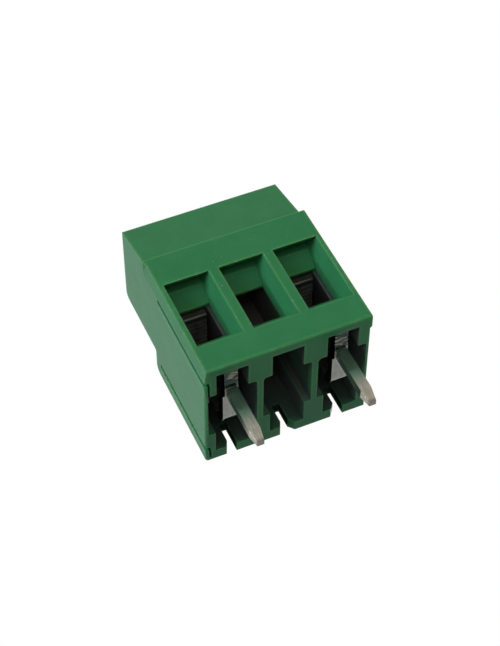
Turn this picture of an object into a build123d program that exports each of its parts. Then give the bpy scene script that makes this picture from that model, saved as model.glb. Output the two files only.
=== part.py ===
from build123d import *
import os
from math import radians, tan

# PCB terminal block with three poles and rising wire cages, all sizes in millimetres.
# X runs along the row of poles, the wires enter from -Y and +Z points away from the board.
# The origin lies on the board plane, midway between the two solder pins.

# Row of poles
pitch = 5.08
poles = 3
populated = (0, 2)
pin_from_front = 3.8

# Outline of the shell, seen from the side
body_height = 18.5
shelf_depth = 2.6
ridge_height = 13.55
band_setback = 1.1
shelf_height = 11.3
shelf_radius = 0.8
top_rear_radius = 0.7
shelf_inner_radius = 0.3
board_edge_radius = 0.2

# Flanks of the shell, seen from the front
shell_shift = 0.18
flank_overhang = 0.18
stack_gap = 0.05
upper_relief = 0.35
lip_depth = 1.3
strip_depth = 1.48
strip_top = 13.0
strip_fade = 0.5
flank_lead = 0.25

# Hooked ribs on the right flank and the grooves for them on the left
hook_depth = 0.5
hook_mouth = 0.42
hook_slope = 11.0
hook_clearance = 0.05
front_hook_reach = 1.5
rear_hook_reach = 1.0
rear_hook_from_back = 1.75
rib_bottom = 2.5
rib_top = 10.0
groove_top = 10.25

# Wire entries
entry_width = 4.15
entry_bottom = 2.85
entry_top = 10.25
entry_lip_rise = 0.5
entry_lip_radius = 0.3
front_wall = 0.85
throat_width = 3.4
throat_bottom = 5.6
throat_top = 9.35
funnel_depth = 2.07
relief_depth = 1.05
relief_top = 12.6
ramp_top = 10.8
ramp_end = 3.05

# Hollows that open to the board
channel_width = 2.9
channel_height = 2.1
chamber_front = 3.3
chamber_depth = 5.2
chamber_width = 4.5
chamber_top = 13.2
chamber_corner = 0.35
recess_width = 3.2
recess_height = 7.0
upper_wall = 0.9
back_wall = 1.1
slot_width = 0.69
slot_height = 2.4
slot_flares = ((0.25, 0.0), (0.25, 0.5), (0.45, 0.0))
slot_flare_height = 0.55

# Screw wells in the top face
screw_from_front = 5.35
well_diameter = 3.75
well_floor = 14.4
well_lip_diameter = 3.3
well_lip_height = 17.5
well_lip_length = 0.3
well_mouth_diameter = 4.0

# Clamp screws
thread_diameter = 3.0
thread_pitch = 0.5
shank_clearance = 0.1
head_diameter = 3.6
head_height = 1.9
head_seat_gap = 0.03
head_edge = 0.2
drive_slot_width = 0.7
drive_slot_depth = 0.9
tip_chamfer = 0.35
tip_gap = 0.05

# Contacts: a bent strip with a solder pin
strip_width = 2.7
strip_thickness = 0.8
bar_bottom = 8.6
bar_front = 3.5
bar_nose = 0.2
leg_bottom = 0.25
leg_width = 1.6
leg_front = 4.3
leg_bend = 1.45
bar_bend = 1.1
neck_height = 3.4
shoulder_bottom = 3.2
shoulder_top = 6.4
shoulder_chamfer = 0.2
seat_clearance = 0.05
tongue_width = 1.2
ridge_spacing = 0.5
ridge_count = 4
ridge_depth = 0.16
pin_width = 1.0
pin_thickness = 0.9
pin_below_board = 5.7
pin_taper_length = 1.3
pin_tip_width = 0.62
pin_tip_thickness = 0.5

# Wire cages
cage_side_clearance = 0.075
cage_front_gap = 0.1
cage_depth = 3.9
cage_wall = 0.55
cage_floor = 0.7
nut_height = 1.0
nut_gap = 0.1
cage_bend = 0.7
cage_inner_bend = 0.25
thread_clearance = 0.04

# Small allowances shared by all pieces
cut_past = 1.0
overlap = 0.1
near = 0.01
cage_stop_gap = 0.1

# Values that follow from the sizes above
front = -pin_from_front
chamber_back = chamber_front + chamber_depth
upper_depth = chamber_back + upper_wall
lower_depth = upper_depth + shelf_depth
recess_back = lower_depth - back_wall
contact_back = chamber_back - 2 * seat_clearance
contact_inner = contact_back - strip_thickness
row_half = poles * pitch / 2
front_left = -row_half + shell_shift
shell_left = front_left - flank_overhang
front_right = row_half + shell_shift - stack_gap
right_flank = front_right - flank_overhang
upper_right = right_flank - upper_relief
screw_y = front + screw_from_front
hook_rise = tan(radians(hook_slope))
bar_top = bar_bottom + strip_thickness
tip_height = bar_top + tip_gap
head_bottom = well_floor + head_seat_gap
nut_bottom = bar_top + nut_gap
cage_top = nut_bottom + nut_height
cage_bottom = throat_bottom - cage_floor
cage_width = chamber_width - 2 * cage_side_clearance
cage_front = front + chamber_front + cage_front_gap
cage_travel = chamber_top - cage_stop_gap - cage_top


def pole_x(index):
    """X of one pole, counted from the left seen from the wires' side."""
    return (index - (poles - 1) / 2) * pitch


def box(x0, x1, y0, y1, z0, z1):
    """A block given by its limits, with Y counted from the front face of the shell."""
    size = (x1 - x0, y1 - y0, z1 - z0)
    return Pos(x0, front + y0, z0) * Box(*size, align=(Align.MIN, Align.MIN, Align.MIN))


def side_profile(points):
    """A closed outline of (distance from front, height) points on the YZ plane."""
    return make_face(Polyline([(0, front + y, z) for y, z in points], close=True))


def across(face, x0, x1):
    """A profile on the YZ plane carried from x0 to x1."""
    return Pos(x0, 0, 0) * extrude(face, x1 - x0, dir=(1, 0, 0))


# Shell

def shell_profile():
    """The side outline: leaning front band, square top and a shelf behind the screws."""
    points = [
        (0, 0),
        (0, ridge_height),
        (band_setback, body_height),
        (upper_depth, body_height),
        (upper_depth, shelf_height),
        (lower_depth, shelf_height),
        (lower_depth, 0),
    ]
    return side_profile(points)


def profile_edges(solid, y, z):
    """The edges along X that pass through one corner of the side outline."""
    return solid.edges().filter_by(Axis.X).filter_by(
        lambda e: abs(e.center().Y - front - y) < near and abs(e.center().Z - z) < near
    )


def shell_block():
    """The outer block, wider below the ridge on its right and set back on its left front edge."""
    block = across(shell_profile(), shell_left, upper_right)
    wide = across(shell_profile(), upper_right - overlap, right_flank)
    wide = split(wide, Plane.XY.offset(ridge_height), keep=Keep.BOTTOM)
    block = block + wide
    block = fillet(profile_edges(block, upper_depth, body_height), top_rear_radius)
    block = fillet(profile_edges(block, lower_depth, shelf_height), shelf_radius)
    block = fillet(profile_edges(block, upper_depth, shelf_height), shelf_inner_radius)
    block = fillet(profile_edges(block, 0, 0), board_edge_radius)
    return block - flank_round() - front_strip() + front_lip()


def flank_round():
    """The sliver taken off the left flank's board edge, which leads a neighbour's ribs in."""
    corner = Rectangle(flank_lead, flank_lead, align=(Align.MIN, Align.MIN))
    sliver = Plane.XZ * (corner - Pos(flank_lead, flank_lead) * Circle(flank_lead))
    length = lower_depth + 2 * cut_past
    return Pos(shell_left, front - cut_past, 0) * extrude(sliver, length, dir=(0, 1, 0))


def front_strip():
    """The wedge taken off the left front edge, so that a neighbour's lip has room."""
    outline = [(shell_left, front), (front_left, front), (shell_left, front + strip_depth)]
    height = strip_top + strip_fade + cut_past
    wedge = Pos(0, 0, -cut_past) * extrude(make_face(Polyline(outline, close=True)), height)
    fade = Plane(origin=(front_left, 0, strip_top), z_dir=(-strip_fade, 0, -flank_overhang))
    return split(wedge, fade, keep=Keep.TOP)


def front_lip():
    """The lip along the right front edge, which reaches the neighbour's set-back strip."""
    outline = [
        (right_flank, front),
        (front_right, front),
        (front_right, front + lip_depth),
        (right_flank, front + lip_depth + flank_overhang),
    ]
    lip = extrude(make_face(Polyline(outline, close=True)), ridge_height)
    bottom = lip.edges().filter_by(Axis.X).sort_by(Axis.Z)[0]
    return fillet(bottom, board_edge_radius)


def hook_section(start, reach):
    """The section of a groove, which enters the left flank at start and bends back under it."""
    inner = shell_left + hook_depth
    mouth = front + start + hook_mouth
    points = [
        (shell_left, front + start),
        (inner, front + start),
        (inner, mouth + reach),
        (shell_left + hook_rise * reach, mouth + reach),
        (shell_left, mouth),
    ]
    return make_face(Polyline(points, close=True))


def hook_starts():
    """Where each hook starts, from the front face, with its reach."""
    return ((strip_depth, front_hook_reach), (lower_depth - rear_hook_from_back, rear_hook_reach))


def grooves():
    """Two undercut grooves in the left flank, open at the board end."""
    cut = Part()
    for start, reach in hook_starts():
        cut += extrude(hook_section(start, reach), groove_top)
    return cut


def ribs():
    """Two hooked ribs on the right flank that fit a neighbour's grooves."""
    added = Part()
    for start, reach in hook_starts():
        gap = hook_clearance
        flap = right_flank + stack_gap + gap
        outer = right_flank + stack_gap + hook_depth - gap
        y0 = front + start + gap
        y1 = front + start + hook_mouth - gap
        y2 = y1 + reach - gap
        points = [
            (right_flank, y0),
            (outer, y0),
            (outer, y2),
            (flap + hook_rise * (y2 - y1), y2),
            (flap, y1),
            (right_flank, y1),
        ]
        rib = extrude(make_face(Polyline(points, close=True)), rib_top - rib_bottom)
        added += Pos(0, 0, rib_bottom) * rib
    return added


def wire_entry(x):
    """One wire entry: a tapered funnel, a straight throat and a relief behind the front wall."""
    half_mouth = entry_width / 2
    half_throat = throat_width / 2
    floor = [
        (-cut_past, entry_bottom),
        (0, entry_bottom),
        (chamber_front, throat_bottom),
        (chamber_front + cut_past, throat_bottom),
    ]
    roof = [
        (chamber_front + cut_past, throat_top),
        (ramp_end, throat_top),
        (front_wall + relief_depth, ramp_top),
        (front_wall + relief_depth, relief_top),
        (front_wall, relief_top),
        (front_wall, entry_top + entry_lip_rise),
        (0, entry_top),
        (-cut_past, entry_top),
    ]
    profile = across(side_profile(floor + roof), -half_mouth, half_mouth)
    plan_points = [
        (-half_mouth, front - cut_past),
        (half_mouth, front - cut_past),
        (half_mouth, front),
        (half_throat, front + funnel_depth),
        (half_throat, front + chamber_front + cut_past),
        (-half_throat, front + chamber_front + cut_past),
        (-half_throat, front + funnel_depth),
        (-half_mouth, front),
    ]
    plan = extrude(make_face(Polyline(plan_points, close=True)), body_height)
    entry = Pos(x, 0, 0) * (profile & plan)
    return entry


def board_hollow(x, flares):
    """The hollow under one pole: key channel, cage chamber, rear recess and vent slot."""
    half_channel = channel_width / 2
    half_chamber = chamber_width / 2
    half_recess = recess_width / 2
    channel_back = chamber_front + overlap
    recess_front = chamber_back - overlap
    channel = box(x - half_channel, x + half_channel, front_wall, channel_back, -cut_past, channel_height)
    chamber = box(x - half_chamber, x + half_chamber, chamber_front, chamber_back, -cut_past, chamber_top)
    corners = chamber.edges().filter_by(Axis.Z).sort_by(Axis.Y)[:2]
    chamber = fillet(corners, chamber_corner)
    recess = box(x - half_recess, x + half_recess, recess_front, recess_back, -cut_past, recess_height)
    return channel + chamber + recess + vent_slot(x, flares)


def vent_slot(x, flares):
    """The slot through the back wall at the board edge, flared at one or both of its feet."""
    left = x - slot_width / 2
    right = x + slot_width / 2
    left_foot = left - flares[0]
    right_foot = right + flares[1]
    points = [
        (left_foot, -cut_past),
        (left_foot, 0),
        (left, slot_flare_height),
        (left, slot_height),
        (right, slot_height),
        (right, slot_flare_height),
        (right_foot, 0),
        (right_foot, -cut_past),
    ]
    inside = front + recess_back - overlap
    outline = make_face(Polyline([(px, inside, pz) for px, pz in points], close=True))
    return extrude(outline, back_wall + 2 * overlap, dir=(0, 1, 0))


def screw_well(x):
    """The well for a screw head, with a snap lip above the head and a hole for the shank."""
    lip_top = well_lip_height + well_lip_length
    radius = well_diameter / 2
    lip_radius = well_lip_diameter / 2
    mouth_radius = well_mouth_diameter / 2
    hole_radius = thread_diameter / 2 + shank_clearance
    lead = radius - lip_radius
    points = [
        (0, chamber_top - overlap),
        (hole_radius, chamber_top - overlap),
        (hole_radius, well_floor),
        (radius, well_floor),
        (radius, well_lip_height - lead),
        (lip_radius, well_lip_height),
        (lip_radius, lip_top),
        (mouth_radius, body_height),
        (mouth_radius, body_height + cut_past),
        (0, body_height + cut_past),
    ]
    outline = make_face(Polyline([(r, 0, z) for r, z in points], close=True))
    return Pos(x, screw_y, 0) * revolve(outline, Axis.Z)


def housing():
    """The one-piece moulded shell of all poles."""
    body = shell_block() + ribs() - grooves()
    for index in range(poles):
        x = pole_x(index)
        body -= wire_entry(x + shell_shift)
        body -= board_hollow(x, slot_flares[index % len(slot_flares)])
        body -= screw_well(x)
    sills = body.edges().filter_by(Axis.X).filter_by(
        lambda e: abs(e.center().Y - front) < near and abs(e.center().Z - entry_bottom) < near
    )
    return fillet(sills, entry_lip_radius)


# Clamp screws

def screw(x):
    """A slotted screw held captive in its well, drawn at its thread's outer diameter."""
    shank = thread_diameter / 2
    head = head_diameter / 2
    head_top = head_bottom + head_height
    points = [
        (0, tip_height),
        (shank - tip_chamfer, tip_height),
        (shank, tip_height + tip_chamfer),
        (shank, head_bottom),
        (head, head_bottom),
        (head, head_top - head_edge),
        (head - head_edge, head_top),
        (0, head_top),
    ]
    body = revolve(make_face(Polyline([(r, 0, z) for r, z in points], close=True)), Axis.Z)
    slot = Pos(0, 0, head_top) * Box(2 * head_diameter, drive_slot_width, 2 * drive_slot_depth)
    return Pos(x, screw_y, 0) * (body - slot)


# Wire cages

def cage(x):
    """A ring of bent strip with a threaded top, open at the front and the back."""
    half = cage_width / 2
    inner = half - cage_wall
    outer = Rectangle(cage_width, cage_top - cage_bottom, align=(Align.CENTER, Align.MIN))
    outer = fillet(outer.vertices(), cage_bend)
    window_height = nut_bottom - cage_bottom - cage_floor
    window = Rectangle(2 * inner, window_height, align=(Align.CENTER, Align.MIN))
    window = Pos(0, cage_floor) * fillet(window.vertices(), cage_inner_bend)
    ring = Plane.XZ * (outer - window)
    ring = extrude(ring, cage_depth, dir=(0, 1, 0))
    ring = Pos(x, cage_front, cage_bottom) * ring
    bore_radius = thread_diameter / 2 + thread_clearance
    bore_middle = Pos(x, screw_y, (nut_bottom + cage_top) / 2)
    return ring - bore_middle * Cylinder(bore_radius, 3 * nut_height)


# Contacts

def contact_profile():
    """The strip from the side: bar on top, riser at the back, leg along the board."""
    points = [
        (bar_front, bar_bottom),
        (bar_front, bar_top),
        (contact_back, bar_top),
        (contact_back, leg_bottom),
        (leg_front, leg_bottom),
        (leg_front, leg_bottom + strip_thickness),
        (contact_inner, leg_bottom + strip_thickness),
        (contact_inner, bar_bottom),
    ]
    return side_profile(points)


def bent_strip(width):
    """The strip with its two bends and its rounded nose, at one width."""
    strip = across(contact_profile(), -width / 2, width / 2)
    inner_leg = leg_bend - strip_thickness
    strip = fillet(profile_edges(strip, contact_back, leg_bottom), leg_bend)
    strip = fillet(profile_edges(strip, contact_inner, leg_bottom + strip_thickness), inner_leg)
    strip = fillet(profile_edges(strip, contact_back, bar_top), bar_bend)
    strip = fillet(profile_edges(strip, contact_inner, bar_bottom), bar_bend - strip_thickness)
    nose = profile_edges(strip, bar_front, bar_bottom) + profile_edges(strip, bar_front, bar_top)
    return fillet(nose, bar_nose)


def shoulders():
    """The wide part of the riser that seats between the walls of the chamber."""
    half = chamber_width / 2 - seat_clearance
    plate = box(-half, half, contact_inner, contact_back, shoulder_bottom, shoulder_top)
    return chamfer(plate.edges().filter_by(Axis.Y), shoulder_chamfer)


def cross_ridges(y0, z, width, count):
    """Grooves pressed across the underside of the strip, which leave ridges between them."""
    cut = Part()
    for step in range(count):
        y = y0 + (step + 0.5) * ridge_spacing
        groove = side_profile([
            (y - ridge_spacing / 2, z - near),
            (y, z + ridge_depth),
            (y + ridge_spacing / 2, z - near),
        ])
        cut += across(groove, -width, width)
    return cut


def solder_pin():
    """The pin bent down from the strip, tapered at its tip."""
    half = pin_width / 2
    shoulder = -(pin_below_board - pin_taper_length)
    top = leg_bottom + strip_thickness
    middle = pin_from_front
    shaft = box(-half, half, middle - pin_thickness / 2, middle + pin_thickness / 2, shoulder, top)
    upper = Plane.XY.offset(shoulder) * Rectangle(pin_width, pin_thickness)
    lower = Plane.XY.offset(-pin_below_board) * Rectangle(pin_tip_width, pin_tip_thickness)
    return shaft + loft([upper, lower])


def contact(x):
    """Bar, riser, leg, ridged tongue and solder pin in one bent piece."""
    top = leg_bottom + strip_thickness
    half = tongue_width / 2
    tongue = box(-half, half, front_wall, leg_front + overlap, leg_bottom, top)
    broad = split(bent_strip(strip_width), Plane.XY.offset(neck_height), keep=Keep.TOP)
    body = bent_strip(leg_width) + broad + shoulders() + tongue
    body -= cross_ridges(front_wall, leg_bottom, tongue_width, ridge_count)
    bar_ridges = int((contact_inner - bar_front - bar_bend) / ridge_spacing)
    body -= cross_ridges(bar_front + 2 * bar_nose, bar_bottom, strip_width, bar_ridges)
    return Pos(x, 0, 0) * (body + solder_pin())


# Named pieces

side_names = {populated[0]: "left", populated[-1]: "right"}
pieces = {"housing": housing()}
for index in populated:
    side = side_names[index]
    pieces[f"{side}_clamp_screw"] = screw(pole_x(index))
    pieces[f"{side}_wire_cage"] = cage(pole_x(index))
    pieces[f"{side}_contact"] = contact(pole_x(index))

os.makedirs("parts", exist_ok=True)
for name, piece in pieces.items():
    export_step(piece, f"parts/{name}.step")
    size = piece.bounding_box().size
    print(f"{name}: {len(piece.solids())} solid, {size.X:.2f} x {size.Y:.2f} x {size.Z:.2f} mm")
print(f"cage travel {cage_travel:.2f} mm, screw turns {cage_travel / thread_pitch:.2f}")
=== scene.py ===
# %% [markdown]
# # A terminal block for a circuit board
# One moulded green shell holds three poles. The two outer poles are fitted with a
# bent contact, a wire cage and a slotted clamp screw, and the middle pole is empty.
# The block is seen from its front left corner and from below the board, so that the
# wire entries and the solder pins both show. The solids come from the CAD model as
# they are. This file gives them light, finish and the fine form of the screws.

# %% Load the model as a fixed frame
from math import pi
import bmesh
import bpy
from mathutils import Matrix, Vector


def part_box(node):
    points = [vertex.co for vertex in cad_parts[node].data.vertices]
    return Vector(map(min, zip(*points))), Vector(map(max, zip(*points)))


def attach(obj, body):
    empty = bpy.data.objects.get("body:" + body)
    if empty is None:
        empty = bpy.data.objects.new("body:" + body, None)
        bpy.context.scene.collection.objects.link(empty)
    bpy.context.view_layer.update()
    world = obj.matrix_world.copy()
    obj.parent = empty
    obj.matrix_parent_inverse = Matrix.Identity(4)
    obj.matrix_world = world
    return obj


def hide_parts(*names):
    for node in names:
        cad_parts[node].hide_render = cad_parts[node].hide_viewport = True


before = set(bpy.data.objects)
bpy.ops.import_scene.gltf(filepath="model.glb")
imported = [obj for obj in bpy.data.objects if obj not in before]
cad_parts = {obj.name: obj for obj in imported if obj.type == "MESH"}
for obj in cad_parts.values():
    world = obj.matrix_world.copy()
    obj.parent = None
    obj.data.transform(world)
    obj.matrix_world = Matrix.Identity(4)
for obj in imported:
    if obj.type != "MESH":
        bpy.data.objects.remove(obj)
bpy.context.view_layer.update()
MM = 0.001
print("pieces", sorted(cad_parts))

# %% [markdown]
# ## Camera
# A long lens from about fourteen centimetres away keeps the edges nearly parallel.
# A camera could be aimed with a Track To constraint, which always keeps it upright.
# Here the picture is turned a little about the line of sight, so the three axes of
# the camera are written out instead and set as its matrix.

# %% Camera
EYE = Vector((-39.676, -110.536, -79.949)) * MM
VIEW_RIGHT = Vector((0.91304, -0.00373, -0.40784))
VIEW_DOWN = Vector((-0.30738, 0.65095, -0.69411))
VIEW_AHEAD = Vector((0.26808, 0.75911, 0.59320))
SENSOR_WIDTH = 36.0
LENS = 121.64
NEAREST = 1 * MM
FARTHEST = 10.0

camera_data = bpy.data.cameras.new("camera")
camera_data.sensor_fit = "HORIZONTAL"
camera_data.sensor_width = SENSOR_WIDTH
camera_data.lens = LENS
camera_data.clip_start = NEAREST
camera_data.clip_end = FARTHEST
camera = bpy.data.objects.new("camera", camera_data)
bpy.context.scene.collection.objects.link(camera)
turn = Matrix((VIEW_RIGHT, -VIEW_DOWN, -VIEW_AHEAD)).transposed().to_4x4()
camera.matrix_world = Matrix.Translation(EYE) @ turn
bpy.context.scene.camera = camera
print("camera", round(EYE.length / MM, 1), "mm from the origin")

# %% [markdown]
# ## White surroundings
# The block stands in a white photo tent over a sheet of pale paper. A lit tent can
# be built from real planes, but a white world does the same with less noise.
# Camera, glossy and transmission rays see plain white, so that metal shows the tent
# too. The light that the world sheds is held much lower, because the lamps do that.

# %% Node helper for a background that only some rays see
def seen_directly(tree):
    """One where a ray comes from the camera, a gloss or a clear part, and else zero."""
    path = tree.nodes.new("ShaderNodeLightPath")
    value = path.outputs["Is Camera Ray"]
    for ray in ("Is Glossy Ray", "Is Transmission Ray"):
        larger = tree.nodes.new("ShaderNodeMath")
        larger.operation = "MAXIMUM"
        tree.links.new(value, larger.inputs[0])
        tree.links.new(path.outputs[ray], larger.inputs[1])
        value = larger.outputs[0]
    return value


print("helper for the surroundings ready")

# %% World
FILL = 0.02
FILL_COLOUR = (0.95, 1.0, 1.05, 1)
TENT_WHITE = (1, 1, 1, 1)

world = bpy.data.worlds.new("photo_tent")
world.use_nodes = True
bpy.context.scene.world = world
tree = world.node_tree
tree.nodes.clear()
out = tree.nodes.new("ShaderNodeOutputWorld")
seen = tree.nodes.new("ShaderNodeBackground")
shed = tree.nodes.new("ShaderNodeBackground")
choose = tree.nodes.new("ShaderNodeMixShader")
seen.inputs["Color"].default_value = TENT_WHITE
seen.inputs["Strength"].default_value = 1.0
shed.inputs["Color"].default_value = FILL_COLOUR
shed.inputs["Strength"].default_value = FILL
tree.links.new(seen_directly(tree), choose.inputs[0])
tree.links.new(shed.outputs[0], choose.inputs[1])
tree.links.new(seen.outputs[0], choose.inputs[2])
tree.links.new(choose.outputs[0], out.inputs["Surface"])
print("world fill", FILL)

# %% [markdown]
# ## Floor
# The paper lies well below the block, out of the camera's view, because the camera
# itself looks up from under the board plane. It throws a soft light on to the
# undersides. A soft box below would do that as well, but would be one more lamp to
# balance.

# %% Paper floor
PAPER_DROP = 250 * MM
PAPER_HALF_WIDTH = 0.7
PAPER_COLOUR = (0.42, 0.42, 0.42, 1)

paper = bpy.data.materials.new("floor_paper")
paper.use_nodes = True
tree = paper.node_tree
tree.nodes.clear()
out = tree.nodes.new("ShaderNodeOutputMaterial")
matt = tree.nodes.new("ShaderNodeBsdfDiffuse")
matt.inputs["Color"].default_value = PAPER_COLOUR
white = tree.nodes.new("ShaderNodeEmission")
choose = tree.nodes.new("ShaderNodeMixShader")
tree.links.new(seen_directly(tree), choose.inputs[0])
tree.links.new(matt.outputs[0], choose.inputs[1])
tree.links.new(white.outputs[0], choose.inputs[2])
tree.links.new(choose.outputs[0], out.inputs["Surface"])

sheet = bmesh.new()
bmesh.ops.create_grid(sheet, x_segments=1, y_segments=1, size=PAPER_HALF_WIDTH)
bmesh.ops.translate(sheet, verts=sheet.verts, vec=(0, 0, -PAPER_DROP))
floor_mesh = bpy.data.meshes.new("floor")
sheet.to_mesh(floor_mesh)
sheet.free()
floor = bpy.data.objects.new("floor", floor_mesh)
floor_mesh.materials.append(paper)
bpy.context.scene.collection.objects.link(floor)
print("floor", round(PAPER_DROP / MM), "mm below the board plane")

# %% [markdown]
# ## Lamps
# The picture has one broad light from the left and front, which fills the wire
# entries down to their right walls. Weaker ones come from the front, from below and
# from the right, and one along the line of sight lifts the deep holes. The last one
# lights the top, the back and the right side, which the picture doesn't show. The
# warm front lamp and the one along the line of sight aren't mirrored in glossy
# faces, so they don't tint the metal. The level is the brightness that a white card
# facing the lamp would have, so it is turned into watts with the distance. A sun
# lamp would need no distance, but square lamps are nearer to the light of a tent.

# %% Lamps
BLOCK_MIDDLE = Vector((0, 0, 8 * MM))
WHITE = (1.0, 1.0, 1.0)


def lamp(name, towards, level, colour, distance=0.45, size=0.22, mirrored=True):
    """A square lamp in one direction from the block, with its level on a white card."""
    data = bpy.data.lights.new(name, "AREA")
    data.shape = "SQUARE"
    data.size = size
    data.energy = level * pi * pi * distance ** 2
    data.color = colour
    obj = bpy.data.objects.new(name, data)
    bpy.context.scene.collection.objects.link(obj)
    place = Vector(towards).normalized() * distance + BLOCK_MIDDLE
    aim = (BLOCK_MIDDLE - place).to_track_quat("-Z", "Y")
    obj.matrix_world = Matrix.Translation(place) @ aim.to_matrix().to_4x4()
    obj.visible_glossy = mirrored
    print(name, "level", level, "power", round(data.energy, 3), "W")


lamp("main_lamp", (-0.75, -0.6, 0.05), 0.76, (0.92, 1.0, 1.14))
lamp("front_lamp", (0.3, -0.9, 0.1), 0.10, (1.6, 0.95, 0.1), mirrored=False)
lamp("low_lamp", (-0.1, -0.9, -0.3), 0.12, WHITE)
lamp("lens_lamp", (-0.268, -0.759, -0.593), 0.15, (1.06, 0.93, 0.95), mirrored=False)
lamp("right_lamp", (0.8, 0.1, -0.5), 0.14, WHITE)
lamp("back_lamp", (0.6, 0.6, 0.5), 0.65, WHITE, distance=0.5, size=0.3)

# %% [markdown]
# ## Building blocks for finishes
# Every finish here is procedural and reads the object's own coordinates, so it stays
# on the piece when it moves and needs no picture. A noise gives the variation, a
# ramp turns it into a colour or a roughness, and a bump turns it into relief.

# %% Helpers for materials and their grain
def new_material(name):
    """An empty node material with its output and one surface shader."""
    made = bpy.data.materials.new(name)
    made.use_nodes = True
    tree = made.node_tree
    tree.nodes.clear()
    output = tree.nodes.new("ShaderNodeOutputMaterial")
    shader = tree.nodes.new("ShaderNodeBsdfPrincipled")
    tree.links.new(shader.outputs["BSDF"], output.inputs["Surface"])
    return made, tree, shader


def noise(tree, grain_mm, detail=4.0, rough=0.55, stretch=(1, 1, 1)):
    """A noise whose grains are about the given size, and longer along a small stretch."""
    coords = tree.nodes.new("ShaderNodeTexCoord")
    mapping = tree.nodes.new("ShaderNodeMapping")
    mapping.inputs["Scale"].default_value = stretch
    made = tree.nodes.new("ShaderNodeTexNoise")
    made.inputs["Scale"].default_value = 1 / (grain_mm * MM)
    made.inputs["Detail"].default_value = detail
    made.inputs["Roughness"].default_value = rough
    tree.links.new(coords.outputs["Object"], mapping.inputs["Vector"])
    tree.links.new(mapping.outputs["Vector"], made.inputs["Vector"])
    return made.outputs["Fac"]


print("helpers for materials and their grain ready")

# %% [markdown]
# A mask is a value from zero to one that says where a layer lies. It could be a
# painted picture, but worked out from noise and place it stays sharp at any size.
# Two masks are multiplied where both have to hold, and the larger one counts where
# one of them is enough. A mask times a number gives a weaker layer.

# %% Helpers for colours and masks
def ramp(tree, source, low, high, start=0.3, end=0.7):
    """A blend between two colours, driven by one value."""
    made = tree.nodes.new("ShaderNodeValToRGB")
    made.color_ramp.elements[0].position = start
    made.color_ramp.elements[0].color = low
    made.color_ramp.elements[1].position = end
    made.color_ramp.elements[1].color = high
    tree.links.new(source, made.inputs["Fac"])
    return made.outputs["Color"]


def grey(value):
    """A colour with the same red, green and blue."""
    return (value, value, value, 1)


def spots(tree, source, start, end):
    """A mask of the places where a noise is higher than in most others."""
    return ramp(tree, source, grey(0), grey(1), start, end)


def blend(tree, amount, below, above):
    """One colour laid over another by an amount."""
    made = tree.nodes.new("ShaderNodeMix")
    made.data_type = "RGBA"
    tree.links.new(amount, made.inputs["Factor"])
    for socket, source in ((made.inputs["A"], below), (made.inputs["B"], above)):
        if isinstance(source, tuple):
            socket.default_value = source
        else:
            tree.links.new(source, socket)
    return made.outputs["Result"]


def combine(tree, operation, first, second):
    """Two values put together by one operation, such as MULTIPLY or MAXIMUM."""
    made = tree.nodes.new("ShaderNodeMath")
    made.operation = operation
    for socket, source in ((made.inputs[0], first), (made.inputs[1], second)):
        if isinstance(source, (int, float)):
            socket.default_value = source
        else:
            tree.links.new(source, socket)
    return made.outputs["Value"]


def both(tree, first, second):
    """High where two masks are both high, or a mask made weaker by a number."""
    return combine(tree, "MULTIPLY", first, second)


def either(tree, first, second):
    """High where at least one of two masks is."""
    return combine(tree, "MAXIMUM", first, second)


def between(tree, axis, start_mm, end_mm):
    """Zero before one place on an axis of the piece and one after another, soft between."""
    coords = tree.nodes.new("ShaderNodeTexCoord")
    split = tree.nodes.new("ShaderNodeSeparateXYZ")
    made = tree.nodes.new("ShaderNodeMapRange")
    made.inputs["From Min"].default_value = start_mm * MM
    made.inputs["From Max"].default_value = end_mm * MM
    tree.links.new(coords.outputs["Object"], split.inputs["Vector"])
    tree.links.new(split.outputs[axis], made.inputs["Value"])
    return made.outputs["Result"]


print("helpers for colours and masks ready")

# %% [markdown]
# Painted highlights lie on outer edges and painted shade in hollows. Both could be
# painted by hand, but then they wouldn't follow a change of the model, so the shader
# finds them itself. Near an edge a rounded normal leans away from the true one, and a
# look around tells an open face from a recess, which also leaves out inner corners.

# %% Helpers for edges, hollows and relief
HOLLOW_SAMPLES = 8
EDGE_SAMPLES = 6
FLAT_LEAN = 0.9995
EDGE_LEAN = 0.965


def openness(tree, reach_mm):
    """One on an open face and less in a corner or a recess, by looking around."""
    made = tree.nodes.new("ShaderNodeAmbientOcclusion")
    made.samples = HOLLOW_SAMPLES
    made.inputs["Distance"].default_value = reach_mm * MM
    return made.outputs["AO"]


def rounded_normal(tree, radius_mm):
    """The normal that the surface would have with its edges rounded."""
    made = tree.nodes.new("ShaderNodeBevel")
    made.samples = EDGE_SAMPLES
    made.inputs["Radius"].default_value = radius_mm * MM
    return made.outputs["Normal"]


def highlit_edges(tree, width_mm):
    """One along outer edges and zero elsewhere: where a painted highlight goes."""
    true = tree.nodes.new("ShaderNodeNewGeometry")
    lean = tree.nodes.new("ShaderNodeVectorMath")
    lean.operation = "DOT_PRODUCT"
    tree.links.new(rounded_normal(tree, width_mm), lean.inputs[0])
    tree.links.new(true.outputs["Normal"], lean.inputs[1])
    near = ramp(tree, lean.outputs["Value"], grey(1), grey(0), EDGE_LEAN, FLAT_LEAN)
    outer = spots(tree, openness(tree, 1.5 * width_mm), 0.8, 0.97)
    return both(tree, near, outer)


def relief(tree, shader, height, depth_mm, edge_mm, strength=0.5):
    """A bump over edges that are rounded by a small radius."""
    made = tree.nodes.new("ShaderNodeBump")
    made.inputs["Strength"].default_value = strength
    made.inputs["Distance"].default_value = depth_mm * MM
    tree.links.new(height, made.inputs["Height"])
    tree.links.new(rounded_normal(tree, edge_mm), made.inputs["Normal"])
    tree.links.new(made.outputs["Normal"], shader.inputs["Normal"])


print("helpers for edges, hollows and relief ready")
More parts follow.
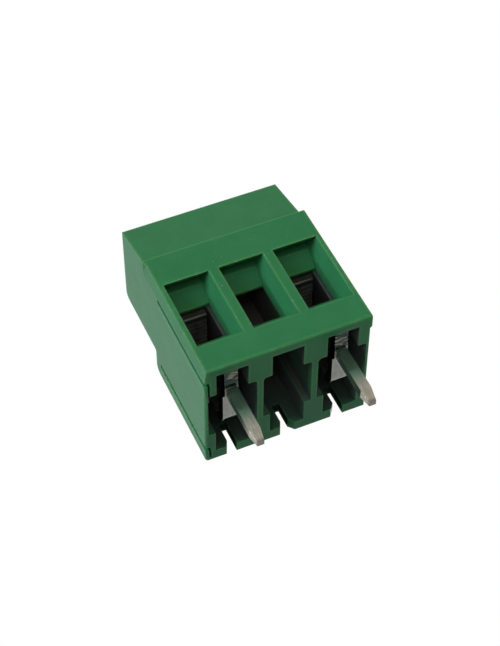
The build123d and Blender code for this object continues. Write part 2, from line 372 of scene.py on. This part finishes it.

# %% [markdown]
# ## Moulded plastic
# The shell is green polyamide. A spark-eroded mould gives it a fine satin grain, its
# outer edges carry a painted highlight a little paler than the face, with a few
# painted glints along them, and specks of dust lie on it. Paint would need only a
# colour and a gloss. Plastic also needs light that travels inside it, so the shader
# scatters it below the surface, and green goes furthest.

# %% Green polyamide, its painted edge highlights and its dust
GREENS = ((0.030, 0.195, 0.072, 1), (0.036, 0.222, 0.083, 1))
EDGE_HIGHLIGHT_GREEN = (0.085, 0.275, 0.098, 1)
EDGE_GLINT_WHITE = (0.42, 0.56, 0.40, 1)
DUST_PALE = (0.36, 0.46, 0.30, 1)
EDGE_HIGHLIGHT_WIDTH_MM = 0.35

plastic, tree, shader = new_material("green_polyamide")
body = ramp(tree, noise(tree, 2.4, 5.0), *GREENS)
edges = highlit_edges(tree, EDGE_HIGHLIGHT_WIDTH_MM)
# Paler green along outer edges: a painted highlight.
highlit_body = blend(tree, both(tree, edges, 0.75), body, EDGE_HIGHLIGHT_GREEN)
# Small bright flecks on the edges: painted glints.
edge_glints = both(tree, edges, spots(tree, noise(tree, 0.16, 2.0), 0.64, 0.70))
glinted_body = blend(tree, both(tree, edge_glints, 0.7), highlit_body, EDGE_GLINT_WHITE)
dust = spots(tree, noise(tree, 0.22, 1.0), 0.77, 0.80)
dusty = blend(tree, both(tree, dust, 0.5), glinted_body, DUST_PALE)
print("clean plastic", len(tree.nodes), "nodes")

# %% [markdown]
# The hollows are painted dark as shade, dull and not bright green. Openness alone
# would also darken the corners of the outer faces, so places along the axes hold the
# painted shade inside: it lies between the side walls, and either near the board or
# behind the wire entries and below the shelf. It is darkest in the slots at the back.
# The end that faces the board is also painted a deeper green towards the back, as shade.

# %% Painted shade in the hollows
HIGH_SHADE = (0.090, 0.065, 0.072, 1)
LOW_SHADE = (0.085, 0.088, 0.095, 1)
SLOT_SHADE = (0.006, 0.014, 0.010, 1)
BOARD_END_SHADE_GREEN = (0.012, 0.110, 0.050, 1)

below_shelf = either(tree, between(tree, "Y", 5.2, 4.9), between(tree, "Z", 11.5, 11.0))
chamber = both(tree, between(tree, "Y", -0.6, 0.3), below_shelf)
inside = either(tree, chamber, between(tree, "Z", 2.8, 2.2))
inside = both(tree, inside, between(tree, "X", 7.5, 7.4))
inside = both(tree, inside, between(tree, "X", -7.05, -6.9))
hollow = ramp(tree, openness(tree, 5.0), grey(1), grey(0), 0.55, 0.95)
# Painted shade: the colour turns dark in hollows, darkest in the slots at the back.
painted_shade = both(tree, both(tree, inside, hollow), 0.9)
low_shade = blend(tree, between(tree, "Y", 7.05, 7.15), LOW_SHADE, SLOT_SHADE)
shade_tone = blend(tree, between(tree, "Z", 3.0, 6.0), low_shade, HIGH_SHADE)
in_shade = blend(tree, painted_shade, dusty, shade_tone)
# Painted shade: the board end turns a deeper green towards the back.
board_end = both(tree, between(tree, "Y", 1.0, 5.5), between(tree, "Z", 0.4, 0.1))
board_end_shaded = blend(tree, both(tree, board_end, 0.5), in_shade, BOARD_END_SHADE_GREEN)
print("with grime", len(tree.nodes), "nodes")

# %% [markdown]
# The leaning band of the front meets the flat face in a ridge. The edge finder could
# mark it too, but the band leans back by only about twelve degrees, which gives less
# than a fifth of its full strength. So a painted highlight, a paler line, is laid
# there by its height and kept to the front. The gloss fades out under the painted
# shade, and the fine grain sets roughness and relief.

# %% Painted ridge highlight and surface of the plastic
RIDGE_Z_MM = 13.55
RIDGE_CORE_MM = 0.01
RIDGE_FADE_MM = 0.09
RIDGE_HIGHLIGHT_GREEN = (0.080, 0.300, 0.110, 1)
PLASTIC_GLOSS = 0.11
SCATTER_REACH = (0.12, 1.0, 0.45)

from_below = between(tree, "Z", RIDGE_Z_MM - RIDGE_FADE_MM, RIDGE_Z_MM - RIDGE_CORE_MM)
from_above = between(tree, "Z", RIDGE_Z_MM + RIDGE_FADE_MM, RIDGE_Z_MM + RIDGE_CORE_MM)
ridge_highlight = both(tree, from_below, from_above)
ridge_highlight = both(tree, ridge_highlight, between(tree, "Y", -3.5, -3.7))
# Painted highlight: a paler line along the ridge.
ridge_lit = blend(tree, both(tree, ridge_highlight, 0.9), board_end_shaded, RIDGE_HIGHLIGHT_GREEN)
tree.links.new(ridge_lit, shader.inputs["Base Color"])
grain = noise(tree, 0.11, 3.0, 0.6)
tree.links.new(ramp(tree, grain, grey(0.36), grey(0.48)), shader.inputs["Roughness"])
relief(tree, shader, grain, depth_mm=0.006, edge_mm=0.12)
gloss = ramp(tree, painted_shade, grey(PLASTIC_GLOSS), grey(0), 0.0, 0.5)
tree.links.new(gloss, shader.inputs["Specular IOR Level"])
shader.inputs["Subsurface Weight"].default_value = 0.35
shader.inputs["Subsurface Radius"].default_value = SCATTER_REACH
shader.inputs["Subsurface Scale"].default_value = 0.5 * MM
print("plastic", plastic.name, len(tree.nodes), "nodes")

# %% [markdown]
# ## Metals
# The contact is one strip of copper alloy. Inside the shell its colour is painted
# dark, as painted shade, with some bare copper. Where it faces the board it is painted
# lighter, as a painted reflection, and its tongue in front has painted glints in stripes
# on a ground painted dark as shade. It could be cut up into pieces with a material each,
# but it is one piece, so one material does it all: the object's own height and depth
# say where each finish lies.

# %% Strip of the contact
SHADED_METAL = ((0.060, 0.064, 0.060, 1), (0.110, 0.116, 0.108, 1))
BARE_COPPER = (0.200, 0.120, 0.060, 1)
LIT_UNDERSIDE_METAL = ((0.130, 0.136, 0.124, 1), (0.220, 0.226, 0.204, 1))
TONGUE_SHADE = (0.026, 0.038, 0.036, 1)
TONGUE_GLINT = (0.190, 0.180, 0.140, 1)
BAR_LIP_SHADE = (0.018, 0.020, 0.018, 1)
EDGE_HIGHLIGHT_METAL = (0.30, 0.29, 0.25, 1)

contact_metal, tree, shader = new_material("tinned_contact")
clouds = noise(tree, 0.9, 4.0)
bare = spots(tree, noise(tree, 0.35, 3.0), 0.58, 0.66)
# Painted shade: inside the shell the strip's colour is dark, with patches of bare copper.
inside_shaded = blend(tree, both(tree, bare, 0.6), ramp(tree, clouds, *SHADED_METAL), BARE_COPPER)
# Painted reflection: the underside behind the pin is lighter.
lit_underside = ramp(tree, noise(tree, 0.1, 4.0, 0.6, (1, 0.2, 1)), *LIT_UNDERSIDE_METAL)
# Painted glints in stripes on a tongue painted dark, as a dark reflection.
glint_stripes = spots(tree, noise(tree, 0.26, 2.0, 0.5, (0.3, 1, 1)), 0.50, 0.62)
tongue_glints_on_shade = blend(tree, both(tree, glint_stripes, 0.8), TONGUE_SHADE, TONGUE_GLINT)
under = blend(tree, between(tree, "Y", -0.6, -0.3), tongue_glints_on_shade, lit_underside)
strip = blend(tree, between(tree, "Z", 0.5, 1.1), under, inside_shaded)
# Painted shade: the front of the bar in the wire entry is darker.
bar_lip = both(tree, between(tree, "Z", 6.0, 7.0), between(tree, "Y", 0.5, -0.2))
lip_shaded = blend(tree, both(tree, bar_lip, 0.7), strip, BAR_LIP_SHADE)
# Painted highlight: a faint paler line on outer edges.
edge_highlit = blend(tree, both(tree, highlit_edges(tree, 0.06), 0.2), lip_shaded, EDGE_HIGHLIGHT_METAL)
print("strip", len(tree.nodes), "nodes")

# %% [markdown]
# The lower part of the pin is tinned and shines warm, with brown stains and a duller
# tip, and the part above it is painted green, as a painted reflection of the shell. They
# could have a noise each, but one streaky noise drives both, so the marks run on from
# part to part.

# %% Solder pin of the contact
TINNED = ((0.22, 0.215, 0.175, 1), (0.36, 0.345, 0.28, 1))
BROWN_STAIN = (0.270, 0.200, 0.120, 1)
CUT_TIP = (0.150, 0.140, 0.120, 1)
SHELL_GREEN_REFLECTION = ((0.060, 0.118, 0.080, 1), (0.090, 0.165, 0.108, 1))
TIN_TO_REFLECTION_MM = (-4.2, -2.6)

streaks = noise(tree, 0.12, 4.0, 0.6, (1, 1, 0.12))
stains = spots(tree, noise(tree, 0.55, 3.0, 0.6, (1, 1, 0.4)), 0.50, 0.62)
tinned = ramp(tree, streaks, *TINNED)
stained = blend(tree, both(tree, stains, 0.55), tinned, BROWN_STAIN)
tipped = blend(tree, between(tree, "Z", -5.35, -5.6), stained, CUT_TIP)
# Painted reflection: the upper part of the pin is green, as the shell mirrored in it.
green_reflected = ramp(tree, streaks, *SHELL_GREEN_REFLECTION)
pin = blend(tree, between(tree, "Z", *TIN_TO_REFLECTION_MM), tipped, green_reflected)
whole = blend(tree, between(tree, "Z", 0.05, 0.2), pin, edge_highlit)
tree.links.new(whole, shader.inputs["Base Color"])
print("with the pin", len(tree.nodes), "nodes")

# %% [markdown]
# Clean metal only mirrors, so it looks black where it faces a dark hollow. Tarnish is a
# skin that scatters light. A second shader could be mixed in for it, but a smaller metal
# share does nearly the same with less: in the wire entry, on the leg at the back and,
# more weakly, on the upper part of the pin, whose green is a painted reflection.

# %% Tarnish and surface of the contact
TARNISHED_METAL_SHARE = 0.25

back_leg = both(tree, between(tree, "Z", 1.2, 1.8), between(tree, "Y", 2.0, 3.0))
tarnish = either(tree, between(tree, "Z", 4.0, 6.0), back_leg)
upper_pin_band = both(tree, between(tree, "Z", *TIN_TO_REFLECTION_MM), between(tree, "Z", 0.2, 0.05))
tarnish = either(tree, tarnish, both(tree, upper_pin_band, 0.55))
metal_share = ramp(tree, tarnish, grey(1), grey(TARNISHED_METAL_SHARE), 0, 1)
tree.links.new(metal_share, shader.inputs["Metallic"])
tree.links.new(ramp(tree, clouds, grey(0.13), grey(0.24)), shader.inputs["Roughness"])
relief(tree, shader, streaks, depth_mm=0.004, edge_mm=0.05, strength=0.35)
print("contact", contact_metal.name, len(tree.nodes), "nodes")

# %% [markdown]
# The cages are zinc-plated steel, bent and tumbled, so they are even and dull, and
# their colour is painted far darker than the same zinc on the screws, as painted shade.
# The screws are bright zinc with fine turning marks round their heads. Both get a
# painted highlight on their outer edges. They could have a material each from the
# start, but both come from one recipe with other numbers.

# %% Plated steel
EDGE_HIGHLIGHT_GAIN = 1.6


def plated_steel(name, low, high, gloss, cloud_mm, stretch, edge_mm, metallic=1.0):
    """Steel with a thin plating: a faint cloud, fine marks and a painted highlight on outer
    edges.
    """
    made, tree, shader = new_material(name)
    cloud = ramp(tree, noise(tree, cloud_mm, 5.0), low, high)
    # Painted highlight: outer edges get a brighter colour.
    edge_highlight_colour = tuple(min(1.0, EDGE_HIGHLIGHT_GAIN * v) for v in high[:3]) + (1,)
    tint = blend(tree, both(tree, highlit_edges(tree, edge_mm), 0.4), cloud, edge_highlight_colour)
    tree.links.new(tint, shader.inputs["Base Color"])
    marks = noise(tree, 0.1, 4.0, 0.6, stretch)
    roughness = ramp(tree, marks, grey(gloss[0]), grey(gloss[1]))
    tree.links.new(roughness, shader.inputs["Roughness"])
    relief(tree, shader, marks, depth_mm=0.004, edge_mm=edge_mm / 2, strength=0.35)
    shader.inputs["Metallic"].default_value = metallic
    print(name, "roughness", gloss)
    return made


# Painted shade: the cage's colours are far darker than the same zinc on the screws.
cage_zinc = plated_steel(
    "cage_zinc",
    low=(0.060, 0.068, 0.066, 1),
    high=(0.095, 0.105, 0.10, 1),
    gloss=(0.3, 0.45),
    cloud_mm=1.4,
    stretch=(1, 1, 1),
    edge_mm=0.1,
    metallic=0.35,
)
screw_zinc = plated_steel(
    "screw_zinc",
    low=(0.40, 0.41, 0.42, 1),
    high=(0.52, 0.53, 0.54, 1),
    gloss=(0.18, 0.3),
    cloud_mm=1.0,
    stretch=(0.3, 0.3, 1),
    edge_mm=0.12,
)

# %% [markdown]
# ## Dressing the solids
# The solids already have the right shape. They could be copied and refined, but each
# keeps its mesh and only its material slots change. The screws are made anew below.

# %% Materials on the CAD pieces
def dress(node, material):
    """Gives every slot of one CAD node the same material."""
    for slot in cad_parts[node].material_slots:
        slot.material = material
    print(node, "is", material.name)


dress("housing", plastic)
for side in ("left", "right"):
    dress(f"{side}_contact", contact_metal)
    dress(f"{side}_wire_cage", cage_zinc)

# %% [markdown]
# ## Clamp screws
# Each screw is an M3 with a slotted cheese head. The CAD model has its outline only,
# with a plain shank, so these two replace it and add the thread. A thread could be a
# bump, but the crests show against the light, so it is real: a zigzag one pitch high
# is spun up a helix until its turns join, and two planes cut the ends square.

# %% Helpers for new pieces
def of_kind(things, kind):
    """The vertices, edges or faces in the mixed result of an operator."""
    return [thing for thing in things if isinstance(thing, kind)]


def new_piece(name, mesh, material):
    """A piece at the origin, made from a finished bmesh, with its normals outwards."""
    bmesh.ops.recalc_face_normals(mesh, faces=mesh.faces)
    open_edges = sum(not edge.is_manifold for edge in mesh.edges)
    data = bpy.data.meshes.new(name)
    mesh.to_mesh(data)
    mesh.free()
    data.materials.append(material)
    piece = bpy.data.objects.new(name, data)
    bpy.context.scene.collection.objects.link(piece)
    print(name, len(data.polygons), "faces, open edges", open_edges)
    return piece


def trim(mesh, height, keep_below):
    """Cuts everything off above or below one height and closes the cut with a face."""
    normal = (0, 0, 1) if keep_below else (0, 0, -1)
    everything = mesh.verts[:] + mesh.edges[:] + mesh.faces[:]
    plane = {"plane_co": (0, 0, height), "plane_no": normal}
    cut = bmesh.ops.bisect_plane(mesh, geom=everything, clear_outer=True, **plane)
    bmesh.ops.contextual_create(mesh, geom=of_kind(cut["geom_cut"], bmesh.types.BMEdge))


print("helpers for new pieces ready")

# %% Threaded shank
THREAD_RADIUS = 1.5 * MM
THREAD_ROOT = 1.22 * MM
THREAD_PITCH = 0.5 * MM
CREST = THREAD_PITCH / 8
STEPS_PER_TURN = 36
SPARE_TURNS = 4
WELD = 0.002 * MM
SUNK_IN_HEAD = 0.1 * MM
HEAD_HEIGHT = 1.9 * MM

screw_low, screw_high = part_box("left_clamp_screw")
SCREW_TIP = screw_low[2]
HEAD_BOTTOM = screw_high[2] - HEAD_HEIGHT


def threaded_shank():
    """A thread of about ten turns from the tip up to the head."""
    mesh = bmesh.new()
    zigzag = (
        (THREAD_ROOT, 0),
        (THREAD_ROOT, CREST),
        (THREAD_RADIUS, THREAD_PITCH / 2),
        (THREAD_RADIUS, THREAD_PITCH / 2 + CREST),
        (THREAD_ROOT, THREAD_PITCH),
    )
    start = SCREW_TIP - SPARE_TURNS / 2 * THREAD_PITCH
    turns = int((HEAD_BOTTOM - SCREW_TIP) / THREAD_PITCH) + SPARE_TURNS
    line = [mesh.verts.new((radius, 0, start + height)) for radius, height in zigzag]
    edges = [mesh.edges.new(pair) for pair in zip(line, line[1:])]
    bmesh.ops.spin(
        mesh,
        geom=line + edges,
        axis=(0, 0, 1),
        cent=(0, 0, 0),
        dvec=(0, 0, THREAD_PITCH / STEPS_PER_TURN),
        angle=2 * pi * turns,
        steps=turns * STEPS_PER_TURN,
    )
    bmesh.ops.remove_doubles(mesh, verts=mesh.verts, dist=WELD)
    trim(mesh, SCREW_TIP, keep_below=False)
    trim(mesh, HEAD_BOTTOM + SUNK_IN_HEAD, keep_below=True)
    return mesh


print("shank", round((HEAD_BOTTOM - SCREW_TIP) / MM, 2), "mm long")

# %% [markdown]
# The head starts as a disk and is pulled up to the floor of the slot. Two cuts then
# divide its top into three strips, and only the outer two are pulled up further, so
# the slot is left between them without a boolean. Small bevels break the edges.

# %% Slotted head
HEAD_RADIUS = 1.8 * MM
HEAD_SEGMENTS = 64
SLOT_WIDTH = 0.7 * MM
SLOT_DEPTH = 0.9 * MM
HEAD_EDGE = 0.2 * MM
CLOSE = 0.01 * MM


def pull_up(mesh, faces, height, keep_faces):
    """Extrudes faces straight up and returns what the operator made."""
    made = bmesh.ops.extrude_face_region(mesh, geom=faces, use_keep_orig=keep_faces)
    risen = of_kind(made["geom"], bmesh.types.BMVert)
    bmesh.ops.translate(mesh, verts=risen, vec=(0, 0, height))
    return made["geom"]


def cut_across(mesh, faces, y):
    """Divides some faces along one upright plane and returns all of them."""
    edges = list({edge for face in faces for edge in face.edges})
    corners = list({corner for face in faces for corner in face.verts})
    plane = {"plane_co": (0, y, 0), "plane_no": (0, 1, 0)}
    cut = bmesh.ops.bisect_plane(mesh, geom=faces + edges + corners, **plane)
    return of_kind(cut["geom"], bmesh.types.BMFace)


def outer_rim(mesh, height):
    """The edges round the top of the head, without those along the slot."""
    found = []
    for edge in mesh.edges:
        at_top = all(abs(v.co.z - height) < CLOSE for v in edge.verts)
        at_rim = all(v.co.to_2d().length > HEAD_RADIUS - CLOSE for v in edge.verts)
        across = abs(edge.verts[0].co.y - edge.verts[1].co.y) > 0
        if at_top and at_rim and across and len(edge.link_faces) == 2:
            found.append(edge)
    return found


def slotted_head(mesh):
    """Adds a cheese head with a driver slot to a mesh."""
    disk = bmesh.ops.create_circle(
        mesh, cap_ends=True, segments=HEAD_SEGMENTS, radius=HEAD_RADIUS
    )
    bmesh.ops.translate(mesh, verts=disk["verts"], vec=(0, 0, HEAD_BOTTOM))
    underside = disk["verts"][0].link_faces[0]
    raised = pull_up(mesh, [underside], HEAD_HEIGHT - SLOT_DEPTH, keep_faces=True)
    top = of_kind(raised, bmesh.types.BMFace)
    for side in (-1, 1):
        top = cut_across(mesh, top, side * SLOT_WIDTH / 2)
    lands = [face for face in top if abs(face.calc_center_median().y) > SLOT_WIDTH / 2]
    pull_up(mesh, lands, SLOT_DEPTH, keep_faces=False)
    bmesh.ops.delete(mesh, geom=lands, context="FACES_ONLY")
    rim = outer_rim(mesh, HEAD_BOTTOM + HEAD_HEIGHT)
    rounding = {"segments": 3, "profile": 0.5, "affect": "EDGES", "material": -1}
    bmesh.ops.bevel(mesh, geom=rim, offset=HEAD_EDGE, **rounding)


print("head", round(2 * HEAD_RADIUS / MM, 2), "mm across")

# %% Two finished screws
POLE_PITCH = 5.08 * MM
SCREW_Y = (screw_low[1] + screw_high[1]) / 2

for side, x in (("left", -POLE_PITCH), ("right", POLE_PITCH)):
    mesh = threaded_shank()
    slotted_head(mesh)
    bmesh.ops.translate(mesh, verts=mesh.verts, vec=(x, SCREW_Y, 0))
    screw = new_piece(f"{side}_slotted_screw", mesh, screw_zinc)
    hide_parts(f"{side}_clamp_screw")
    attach(screw, f"{side}_screw")
    low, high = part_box(f"{side}_clamp_screw")
    print(screw.name, "replaces a screw of", round((high[2] - low[2]) / MM, 2), "mm")

# %% [markdown]
# ## Lands of the grooves
# The left flank has two undercut grooves, into which a neighbour block hooks. The
# CAD model ends the flap over each groove in a knife edge. The real one has a narrow
# flat there, which catches the light as a green line, so a thin bar under the flap
# makes its edge thicker. The bar's section is drawn once and pulled up the groove.

# %% Groove lands
GROOVE_TOP = 10.25 * MM
LAND = 0.3 * MM
FLAP_RISE = 0.1944
INSET = 0.005 * MM
FRONT_MOUTH = 1.9 * MM
FRONT_REACH = 1.5 * MM
REAR_MOUTH = 1.33 * MM
REAR_REACH = 1.0 * MM

shell_low, shell_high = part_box("housing")
FLANK_X = shell_low[0]
GROOVES = {
    "front": (shell_low[1] + FRONT_MOUTH, FRONT_REACH),
    "rear": (shell_high[1] - REAR_MOUTH, REAR_REACH),
}
for place, (mouth, reach) in GROOVES.items():
    mesh = bmesh.new()
    section = (
        (FLANK_X + INSET, mouth),
        (FLANK_X + LAND, mouth),
        (FLANK_X + LAND, mouth + reach),
        (FLANK_X + FLAP_RISE * reach, mouth + reach),
    )
    corners = [mesh.verts.new((x, y, INSET)) for x, y in section]
    pull_up(mesh, [mesh.faces.new(corners)], GROOVE_TOP, keep_faces=True)
    land = new_piece(f"{place}_groove_land", mesh, plastic)
    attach(land, "shell")

# %% [markdown]
# ## Colour view
# A film look would bend the colours, so the Standard view leaves them as they are.

# %% Colour view
bpy.context.scene.view_settings.view_transform = "Standard"
